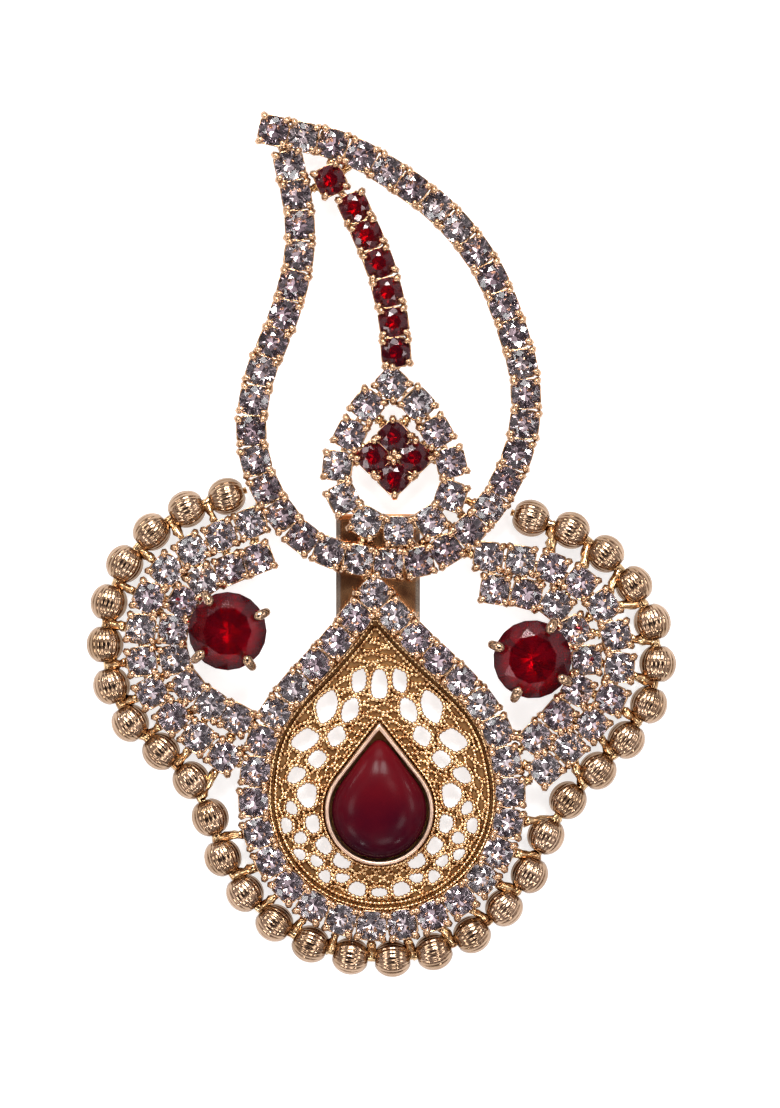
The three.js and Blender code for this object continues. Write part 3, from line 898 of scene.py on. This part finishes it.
@dataclass
class SolderWork:
    """Lumps of solder that hold the rows and the bead wire together.

    Reach and beside are the longest ways that solder spans, from the wire to a cup and between two rows.
    Joint and bridge are half lengths of lumps, as shares of the step between beads and of half that of stones.
    """

    gold: Material
    reach: float = 8.8 * MM
    beside: float = 6.4 * MM
    height: float = 4.2 * MM
    cup: float = 2.3 * MM
    joint: float = 0.24
    bridge: float = 0.3
    shiver: float = 0.05 * MM
    thick: Row = (0.5, 0.85)
    lumps: Row = (0.8, 1.2)
    tones: Row = (-0.4, 0.7)
    rings: int = 7
    sides: int = 8

    def runs(self, starts: np.ndarray, ends: np.ndarray, random: Random) -> Surface:
        """Uneven rods between pairs of places: each ring of a rod has its own radius, and each corner its own.

        Args:
            starts: one end of each rod.
            ends: the other end of each rod.
            random: source of the lumps.

        Returns:
            All rods as one surface.
        """
        share = np.linspace(0.0, 1.0, self.rings)[:, None]
        rods = []
        for start, end in zip(starts, ends):
            path = start + share * (end - start) + random.normal(0.0, self.shiver, (self.rings, 3))
            thick = random.uniform(*self.thick, (self.rings, 1))
            rod = sweep(path, thick * random.uniform(*self.lumps, (self.rings, self.sides)) * MM, self.sides)
            rod.tones = random.uniform(*self.tones, len(rod.points))
            rods.append(rod)
        return join(rods)

    def build(self, beads: np.ndarray, rows: list[np.ndarray], random: Random) -> None:
        """Adds solder from the wire to the nearest cups and between cups of neighbouring rows.

        Args:
            beads: centres of the beads, one after the other.
            rows: x and y of the stones of each row.
            random: source of the lumps.
        """
        stones = np.vstack(rows)
        roots, step = 0.5 * (beads[1:] + beads[:-1]), self.joint * (beads[1:] - beads[:-1])
        joints = self.runs(roots - step, roots + step, random)
        away = spans(roots[:, :2], stones)
        near = away.min(axis=1) < self.reach
        roots, cups, away = roots[near], stones[away.argmin(axis=1)][near], away.min(axis=1)[near]
        ends = roots[:, :2] + (cups - roots[:, :2]) * (1.0 - self.cup / away)[:, None]
        spurs = self.runs(roots, lifted(ends, self.height), random)
        add_piece("bead_solder", join([joints, spurs]), [self.gold], [])
        number = np.repeat(np.arange(len(rows)), [len(row) for row in rows])
        one, other = np.nonzero((spans(stones, stones) < self.beside) & (number[:, None] < number[None]))
        middle, step = 0.5 * (stones[one] + stones[other]), 0.5 * self.bridge * (stones[other] - stones[one])
        starts, ends = lifted(middle - step, self.height), lifted(middle + step, self.height)
        add_piece("row_solder", self.runs(starts, ends, random), [self.gold], [])


@dataclass(frozen=True)
class Pear:
    """A pear outline: an arc with two straight runs that meet in a tip, turned by a lean.

    Its shoulders stand out by swell within the angle span from the tip.
    """

    centre: np.ndarray
    radius: float
    tip: float
    lean: float = 0.0
    swell: float = 0.0
    span: float = math.radians(84.0)
    steps: int = 720  # directions in which a place is tested

    @classmethod
    def of_node(cls, node: str) -> "Pear":
        """The outline of an upright packed pear.

        Args:
            node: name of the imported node.

        Returns:
            Its outline.
        """
        low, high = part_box(node)
        radius = 0.5 * (high.x - low.x)
        centre = np.array([0.5 * (low.x + high.x), low.y + radius])
        return cls(centre, radius, high.y - centre[1])

    def reach(self, angle: np.ndarray, grow: float = 0.0) -> np.ndarray:
        """Distance of the outline from its centre.

        Args:
            angle: directions, counted from the tip.
            grow: distance by which the outline is widened.

        Returns:
            One distance for each direction.
        """
        radius = self.radius + grow
        touch = math.acos(self.radius / self.tip)
        off = np.abs(np.arctan2(np.sin(angle), np.cos(angle)))
        reach = np.where(off < touch, radius / np.cos(np.clip(touch - off, 0.0, None)), radius)
        return reach + self.swell * np.sin(math.pi * np.minimum(off / self.span, 1.0)) ** 2

    def points(self, count: int, grow: float = 0.0) -> np.ndarray:
        """The x and y of places round the outline, starting at the tip."""
        angle = circle(count)
        return self.centre + self.reach(angle, grow)[:, None] * rays(QUARTER + self.lean + angle)

    def holds(self, spots: np.ndarray, grow: float) -> np.ndarray:
        """Whether places lie inside the outline.

        Args:
            spots: places to test.
            grow: distance by which the outline is widened.

        Returns:
            One truth value for each place.
        """
        away = spots - self.centre
        angle = np.arctan2(away[:, 1], away[:, 0]) - QUARTER - self.lean
        angle = np.round(angle / TURN * self.steps) * TURN / self.steps
        return np.linalg.norm(away, axis=1) < self.reach(angle, grow)


RIM_PROFILE = [(0.0, 3.1), (0.0, 6.15), (-0.10, 6.33), (-0.32, 6.42), (-0.54, 6.33), (-0.64, 6.15),
               (-0.60, 3.1)]


@dataclass
class CabochonMount:
    """The smooth red dome in its gold rim.

    The dome is the share of the rim's width, and its tip is rounded by blur and, towards the top, by more.
    """

    gold: Material
    sides: int = 144
    rows: int = 22
    top: float = 84.0  # latitude of the last row in degrees
    share: float = 0.87
    foot: float = 3.9 * MM
    shoulder: float = 5.4 * MM
    rise: float = 3.4 * MM
    full: float = 0.75
    blur: float = 0.09
    more: float = 0.40

    def build(self) -> None:
        """Adds the rim, a wall with a rounded top that follows the pear, and the dome.

        The dome's rows are pears that shrink like a ball's circles, while a blur of their waves rounds the tip.
        """
        pear = Pear.of_node("cabochon_bezel")
        rows = np.stack([lifted(pear.points(self.sides, out * MM), up * MM) for out, up in RIM_PROFILE])
        add_piece("cabochon_rim", skin(rows, ring=True), [self.gold], ["cabochon_bezel"])
        lean = np.radians(np.linspace(0.0, self.top, self.rows))[:, None]
        angle = circle(self.sides)
        waves = np.fft.rfft(pear.reach(angle))
        blur = np.exp(-0.5 * (np.arange(len(waves)) * (self.blur + self.more * np.sin(lean))) ** 2)
        reach = self.share * np.cos(lean) ** self.full * np.fft.irfft(waves * blur, self.sides)
        flat = pear.centre + reach[:, :, None] * rays(QUARTER + angle)
        heights = self.shoulder + self.rise * np.sin(lean) + 0 * reach
        dome = np.concatenate([flat, heights[:, :, None]], axis=2)
        foot = dome[:1].copy()
        foot[:, :, 2] = self.foot
        low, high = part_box("cabochon")
        # the lighter tip colour is painted light
        finish = CabochonFinish("red_cabochon", (0.09, 0.003, 0.005), (0.017, 0.001, 0.005), low.y, high.y)
        surface = skin(np.concatenate([foot, dome]))
        add_piece("cabochon_dome", surface, [finish.material()], ["cabochon"])


CHATON_CUT = BrilliantCut(radius=5.85, table=0.62, crown=1.5, depth=3.8, girdle=7.2, folds=10)
COLLAR_PROFILE = [(3.2, 1.0), (3.8, 1.0), (5.25, 5.8), (5.1, 6.0), (4.85, 6.0)]
CHATON_CLAW = [(4.9, 4.4), (5.45, 5.6), (6.1, 6.4), (6.45, 7.2), (6.3, 8.0), (5.7, 8.5), (5.0, 8.6), (4.5, 8.5)]
CHATON_CLAW_REACH = ([0.0, 0.5, 0.85, 1.0], [0.5, 0.68, 0.78, 0.40])


@dataclass
class ClawChaton:
    """A large round red stone in a tapered collar with four claws."""

    side: str
    stone: list[Material]
    gold: Material
    collar_sides: int = 48
    claw_sides: int = 12
    claw_steps: int = 3
    claw_top: float = 8.0 * MM
    claw_step: float = 1.6 * MM

    def build(self, random: Random) -> None:
        """Adds the stone and its setting.

        Args:
            random: source of the stone's turn.
        """
        node, setting = f"{self.side}_chaton", f"{self.side}_chaton_setting"
        low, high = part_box(node)
        centre = np.array([[0.5 * (low.x + high.x), 0.5 * (low.y + high.y), 0.0]])
        stone = CHATON_CUT.surface().repeat(centre, random.uniform(0.0, 1.0, 1), np.array([0.5]))
        add_piece(f"{node}_cut", stone, self.stone, [node], Shade.FLAT)
        spoke = tops(setting, self.claw_top, self.claw_step)[2] - centre[:, :2]
        angles = np.arctan2(spoke[:, 1], spoke[:, 0])
        collar = turned(COLLAR_PROFILE, self.collar_sides).repeat(centre, np.zeros(1))
        path = smooth_path(upright(CHATON_CLAW), self.claw_steps, False)
        thick = np.interp(np.linspace(0.0, 1.0, len(path)), *CHATON_CLAW_REACH) * MM
        claw = sweep(path, thick[:, None], self.claw_sides, across=SIDEWAYS)
        claws = claw.repeat(np.repeat(centre, len(angles), axis=0), angles)
        add_piece(f"{node}_claws", join([collar, claws]), [self.gold], [setting])


@dataclass
class BackClip:
    """The folded strip on the back, which keeps its packed form."""

    bright: Color = (0.95, 0.52, 0.23)
    deep: Color = (0.42, 0.13, 0.05)
    # pale colour of the painted highlight along both long edges
    rim: Color = (1.0, 0.80, 0.62)

    def dress(self) -> None:
        """Gives the strip its sheet finish, with the painted highlight rim at both sides of its box."""
        low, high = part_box("back_clip")
        middle, half = 0.5 * (low.x + high.x), 0.5 * (high.x - low.x)
        finish = SheetFinish("sheet_gold_painted_edge_highlight", self.bright, self.deep, self.rim, middle, half)
        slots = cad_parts["back_clip"].data.materials
        slots.clear()
        slots.append(finish.material())
        LOG.info("back_clip dressed")


PLATE_RADIUS = 20.0 * MM
PLATE_TIP = 31.8 * MM
PLATE_LEAN = math.radians(2.2)
PLATE_SWELL = 1.2 * MM
RIM_INSETS = (2.3 * MM, 3.15 * MM, 4.0 * MM)
BEZEL_OUTSET = 0.45 * MM
LOOP_HEIGHT, RIM_HEIGHT, BEZEL_HEIGHT, WEB_HEIGHT = 0.34 * MM, 0.30 * MM, 0.35 * MM, 0.12 * MM
EDGE_STEPS = 3
RIM_PLACES, BEZEL_PLACES = 400, 200
WEB_RADII = np.arange(9.0, 28.0, 0.84) * MM
WEB_WAVE = 0.24 * MM
WEB_WAVES = 30
WEB_STEP = 0.1 * MM
WEB_RIM = 4.4 * MM
WEB_BEZEL = 0.7 * MM
WEB_GAP = 0.3 * MM
WEB_LEAST = 8


@dataclass
class FiligreeWork:
    """Beaded wires soldered over the pierced plate.

    A gap is widened and squared with the power corner, as far as a bar stays between it and its neighbour. A
    loop runs beside the edge of its gap.
    """

    gold: Material
    painted_shade_backing: Material
    radius: float = 0.38 * MM
    pitch: float = 0.66 * MM
    fine: int = 5
    sides: int = 8
    widen: float = 0.27 * MM
    corner: float = 4.0
    bar: float = 0.62 * MM
    beside: float = 0.18 * MM
    slant: float = 0.16  # lean of the grains as a share of the pitch, and where it is greatest
    facing: float = 0.8
    notch: float = 0.84
    notch_painted_shade: float = 1.05  # painted shade of the notches, and of the grains' backs
    # painted highlight: tone taken off the middle of each grain
    grain_painted_highlight: float = 0.15
    plate: Pear = field(init=False)
    bezel: Pear = field(init=False)
    top: float = field(init=False)
    low: float = field(init=False)

    def __post_init__(self) -> None:
        """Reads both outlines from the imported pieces."""
        low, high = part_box("filigree_plate")
        self.low, self.top = low.z, high.z
        centre = np.array([0.5 * (low.x + high.x), low.y + PLATE_RADIUS])
        self.plate = Pear(centre, PLATE_RADIUS, PLATE_TIP, PLATE_LEAN, PLATE_SWELL)
        self.bezel = Pear.of_node("cabochon_bezel")

    def widened(self, gaps: list[np.ndarray]) -> list[np.ndarray]:
        """Edges of the gaps moved out, most towards the four corners between rays and circles.

        In shares of the gap's own reach along the ray from the bezel's centre and across it, a place goes from
        the circle u^2 + v^2 = 1 to the rounded square u^p + v^p = 1 and out by a fixed distance, as far as a
        bar stays between neighbours.

        Args:
            gaps: x and y along each edge.

        Returns:
            The moved edges.
        """
        flat = np.vstack(gaps)
        owner = np.repeat(np.arange(len(gaps)), [len(ring) for ring in gaps])
        apart = spans(flat, flat)
        apart[owner[:, None] == owner[None]] = np.inf
        room = np.clip(0.5 * (apart.min(axis=1) - self.bar), 0.0, None)
        moved = []
        for number, ring in enumerate(gaps):
            middle = ring.mean(axis=0)
            ray = unit(middle - self.bezel.centre)
            spoke = ring - middle
            length = np.linalg.norm(spoke, axis=1)
            share = np.abs(spoke @ np.array([ray, [-ray[1], ray[0]]]).T)
            share /= share.max(axis=0)
            square = np.linalg.norm(share, axis=1) / np.linalg.norm(share, self.corner, axis=1)
            grow = np.minimum(length * (square - 1.0) + self.widen, room[owner == number])
            moved.append(ring + spoke * (grow / length)[:, None])
        return moved

    def edges(self) -> list[np.ndarray]:
        """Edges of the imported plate, found as runs of upright wall faces that hang together.

        Returns:
            The corners of each gap and last those of the rim, in order round their middle.
        """
        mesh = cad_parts["filigree_plate"].data
        corners = np.empty(len(mesh.loops), np.int32)
        mesh.loops.foreach_get("vertex_index", corners)
        places, same = np.unique(np.round(node_points("filigree_plate"), 6), axis=0, return_inverse=True)
        faces = same.reshape(-1)[corners].reshape(-1, 3)
        one, two, three = places[faces].transpose(1, 0, 2)
        walls = faces[np.abs(unit(np.cross(two - one, three - one))[:, 2]) < 0.2]
        labels = grouped(len(places), np.vstack([walls[:, :2], walls[:, 1:]]))
        top = np.unique(walls)
        top = top[places[top, 2] > self.top - LEVEL]
        rings = sorted((places[top[labels[top] == label], :2] for label in np.unique(labels[top])), key=len)
        return [ring[np.argsort(np.arctan2(*(ring - ring.mean(0)).T[::-1]))] for ring in rings]

    def sheet(self, rings: list[np.ndarray]) -> Surface:
        """The pierced plate: both faces filled between the rim and the gaps, with a wall along each edge.

        Args:
            rings: x and y along each edge, the rim last.

        Returns:
            The closed plate.
        """
        flat, count = np.vstack(rings), sum(map(len, rings))
        owner = np.repeat(np.arange(len(rings)), [len(ring) for ring in rings])
        here = np.arange(count)
        ahead = np.concatenate([np.roll(here[owner == number], -1) for number in range(len(rings))])
        lines = np.stack([here, ahead], axis=1).tolist()
        spots, _, faces, *_ = delaunay_2d_cdt([Vector(spot) for spot in flat / MM], lines, [], 1, 1e-7)
        if len(spots) != count:
            raise ValueError(f"gaps of the plate overlap: {len(spots) - count} crossings")
        faces = np.array(faces)
        rim = owner == len(rings) - 1
        faces = faces[(owner[faces] != owner[faces[:, :1]]).any(axis=1) | rim[faces[:, 0]]]
        points = np.vstack([lifted(flat, self.top), lifted(flat, self.low)])
        walls = np.stack([ahead, here, here + count, ahead + count], axis=1)
        walls[~rim] = walls[~rim, ::-1]
        return Surface(points, [faces, faces[:, ::-1] + count, walls])

    def rope(self, path: np.ndarray, height: float, closed: bool) -> Surface:
        """A beaded wire: its radius follows a half circle over each grain, and grains lean to one side.

        Args:
            path: x and y along the middle line.
            height: height of the middle line over the plate.
            closed: whether the path returns to its start.

        Returns:
            The beaded wire, with painted shade in its notches and a painted highlight on its grains.
        """
        line = lifted(even_steps(path, self.pitch / self.fine, closed), self.top + height)
        grains = max(1, round(len(line) / self.fine))
        phase = np.linspace(0.0, grains, len(line), endpoint=not closed)[:, None]
        slant = self.slant * np.sin(circle(self.sides) + self.facing)
        along = 2.0 * ((phase + slant) % 1.0) - 1.0
        wire = sweep(line, self.radius * np.sqrt(1.0 - self.notch * along ** 2), self.sides, closed)
        # painted shade darkens the notches and a painted highlight lightens the middle of each grain
        wire.tones[:along.size] = self.notch_painted_shade * along.ravel() ** 2 - self.grain_painted_highlight
        return wire

    def build(self) -> None:
        """Adds the plate, loops round its gaps, wires of the web between them and wires along the rims."""
        *gaps, rim = self.edges()
        gaps = self.widened([smooth_path(ring, EDGE_STEPS, True) for ring in gaps])
        plate = self.sheet([*gaps, rim])
        # the plate gets the darker gold of painted shade between the wires
        add_piece("filigree_sheet", plate, [self.painted_shade_backing], ["filigree_plate"], Shade.FLAT)
        loops = [ring + self.beside * unit(ring - ring.mean(axis=0)) for ring in gaps]
        loops = [self.rope(smooth_path(loop, EDGE_STEPS, True), LOOP_HEIGHT, True) for loop in loops]
        rims = [self.rope(self.plate.points(RIM_PLACES, -inset), RIM_HEIGHT, True) for inset in RIM_INSETS]
        rims.append(self.rope(self.bezel.points(BEZEL_PLACES, BEZEL_OUTSET), BEZEL_HEIGHT, True))
        for name, ropes in (("loops", loops), ("web", self.web(gaps)), ("rims", rims)):
            add_piece(f"filigree_{name}", join(ropes), [self.gold], [])

    def web(self, gaps: list[np.ndarray]) -> list[Surface]:
        """Waved wires on circles round the cabochon, cut where a gap, the bezel or the rim is.

        Neighbouring circles swing against each other, so that they leave diamonds between them.

        Args:
            gaps: corners of each gap.

        Returns:
            The wires.
        """
        wires = []
        for number, radius in enumerate(WEB_RADII):
            angle = circle(int(TURN * radius / WEB_STEP))
            wave = radius + WEB_WAVE * np.sin(WEB_WAVES * angle + math.pi * number)
            path = self.bezel.centre + wave[:, None] * rays(angle)
            keep = self.plate.holds(path, -WEB_RIM) & ~self.bezel.holds(path, WEB_BEZEL)
            for ring in gaps:
                edge = unit(np.roll(ring, -1, axis=0) - ring)
                away = path[:, None] - ring[None]
                inside = edge[:, 0] * away[..., 1] - edge[:, 1] * away[..., 0]
                keep &= inside.min(axis=1) < -WEB_GAP
            start = int(np.argmin(keep))
            path, keep = np.roll(path, -start, axis=0), np.roll(keep, -start)
            cuts = np.flatnonzero(np.diff(keep.astype(int))) + 1
            runs = [run for run, kept in zip(np.split(path, cuts), np.split(keep, cuts)) if kept[0]]
            wires += [self.rope(run, WEB_HEIGHT, False) for run in runs if len(run) > WEB_LEAST]
        return wires


@dataclass(frozen=True)
class SoftBox:
    """A rectangular studio light; azimuth is counted from +X and tilt from straight above, in degrees."""

    name: str
    azimuth: float
    tilt: float
    width: float
    height: float
    power: float
    distance: float = 0.9

    def build(self) -> None:
        """Adds the light to the scene."""
        light = bpy.data.lights.new(self.name, "AREA")
        light.shape = "RECTANGLE"
        light.size, light.size_y, light.energy = self.width, self.height, self.power
        azimuth, tilt = math.radians(self.azimuth), math.radians(self.tilt)
        lamp = put(self.name, light)
        lamp.location = self.distance * Vector((*(math.sin(tilt) * rays(azimuth)), math.cos(tilt)))
        lamp.rotation_euler = (0.0, tilt, azimuth)
        lamp.visible_camera = False


@dataclass(frozen=True)
class Studio:
    """Pale floor, soft lights and a camera straight above the jewel.

    The picture is tall metres high at the height of plane, and its middle is centre.
    """

    boxes: tuple[SoftBox, ...]
    centre: tuple[float, float] = (0.00129, -0.00113)
    tall: float = 0.1656
    plane: float = 0.0045
    distance: float = 0.7
    reach: float = 3.0
    under: float = -0.02 * MM
    glow: float = 0.74

    def build(self) -> None:
        """Adds floor, lights, surroundings and camera."""
        self.floor()
        self.surroundings()
        for box in self.boxes:
            box.build()
        camera = bpy.data.cameras.new("camera")
        camera.sensor_width = 36.0
        camera.lens = camera.sensor_width * self.distance / self.tall
        camera.clip_start = 0.01
        eye = put("camera", camera)
        eye.location = (*self.centre, self.plane + self.distance)
        bpy.context.scene.camera = eye
        bpy.context.scene.view_settings.view_transform = "Standard"

    def floor(self) -> None:
        """Adds a wide pale floor a hair under the jewel."""
        mesh = bpy.data.meshes.new("floor")
        square = ((-1, -1), (1, -1), (1, 1), (-1, 1))
        mesh.from_pydata([(x * self.reach, y * self.reach, self.under) for x, y in square], [], [(0, 1, 2, 3)])
        material, tree, shader = new_material("pale_floor")
        cloud = tree.noise(tree.place(), scale=6.0)
        color = tree.mix(cloud, (0.56, 0.56, 0.56), (0.53, 0.53, 0.53))
        tree.fill(shader, {"Base Color": color, "Roughness": 0.9, "Specular IOR Level": 0.1,
                           "Emission Color": (1.0, 1.0, 1.0), "Emission Strength": self.glow})
        mesh.materials.append(material)
        put("floor", mesh)

    def surroundings(self) -> None:
        """Fills the room round the jewel with soft grey clouds that are dark straight above."""
        world = bpy.data.worlds.new("room")
        bpy.context.scene.world = world
        world.use_nodes = True
        tree = Tree(world.node_tree)
        way = tree.place("Generated")
        share = tree.ramp(tree.noise(way, scale=5.0, detail=1.0), start=0.43, end=0.57)
        color = tree.mix(share, (0.09, 0.078, 0.085), (1.12, 1.03, 1.07))
        above = tree.ramp(tree.axis(way, "Z"), start=0.90, end=0.98)
        color = tree.mix(above, color, (0.03, 0.025, 0.03))
        tree.fill(world.node_tree.nodes["Background"], {"Color": color})


# name, azimuth, tilt, width, height, power
SOFT_BOXES = (
    SoftBox("window_a", 100.0, 38.0, 0.28, 0.12, 4.2),
    SoftBox("window_b", 77.0, 38.0, 0.28, 0.12, 4.2),
    SoftBox("left", 180.0, 36.0, 0.19, 0.24, 1.0),
    SoftBox("right", 5.0, 50.0, 0.19, 0.24, 1.0),
    SoftBox("front", -80.0, 44.0, 0.19, 0.24, 1.0),
    SoftBox("corner_a", 135.0, 58.0, 0.19, 0.24, 1.0),
    SoftBox("corner_b", -140.0, 54.0, 0.19, 0.24, 1.0),
    SoftBox("corner_c", -35.0, 30.0, 0.16, 0.20, 0.7),
    SoftBox("corner_d", 45.0, 22.0, 0.14, 0.16, 0.5),
    SoftBox("back", 92.0, 62.0, 0.20, 0.32, 1.3),
    SoftBox("spark_c", 150.0, 62.0, 0.07, 0.07, 0.6),
    SoftBox("spark_d", 25.0, 60.0, 0.07, 0.07, 0.6),
    SoftBox("spark_e", -60.0, 58.0, 0.07, 0.07, 0.6),
    SoftBox("spark_f", -115.0, 62.0, 0.07, 0.07, 0.6),
)
CLEAR_CHAINS = ("arch_chain", "left_wing_outer_chain", "left_wing_inner_chain", "right_wing_outer_chain",
                "right_wing_inner_chain", "pear_border_chain")
RED_CHAINS = ("stem_chain", "red_cluster")


def main() -> None:
    """Builds the jewel piece by piece, then the studio round it."""
    logging.basicConfig(level=logging.INFO, format="%(name)s: %(message)s")
    random = np.random.default_rng(SEED)
    palette = Palette.mixed()
    rows = [StoneRow("leaf_chain", palette.leaf, palette.claw, Slot.CLEAR)]
    rows += [StoneRow(node, palette.clear, palette.claw, Slot.CLEAR) for node in CLEAR_CHAINS]
    rows += [StoneRow(node, palette.red, palette.claw, Slot.RED) for node in RED_CHAINS]
    for row in rows:
        row.build(random)
    beads = BeadString(palette.rose, palette.yellow).build(random)
    SolderWork(palette.yellow).build(beads, [row.centres for row in rows], random)
    CabochonMount(palette.satin).build()
    for side in ("left", "right"):
        ClawChaton(side, palette.deep_red, palette.rose).build(random)
    FiligreeWork(palette.yellow, palette.painted_shade_backing).build()
    BackClip().dress()
    Studio(SOFT_BOXES).build()


if __name__ == "__main__":
    main()
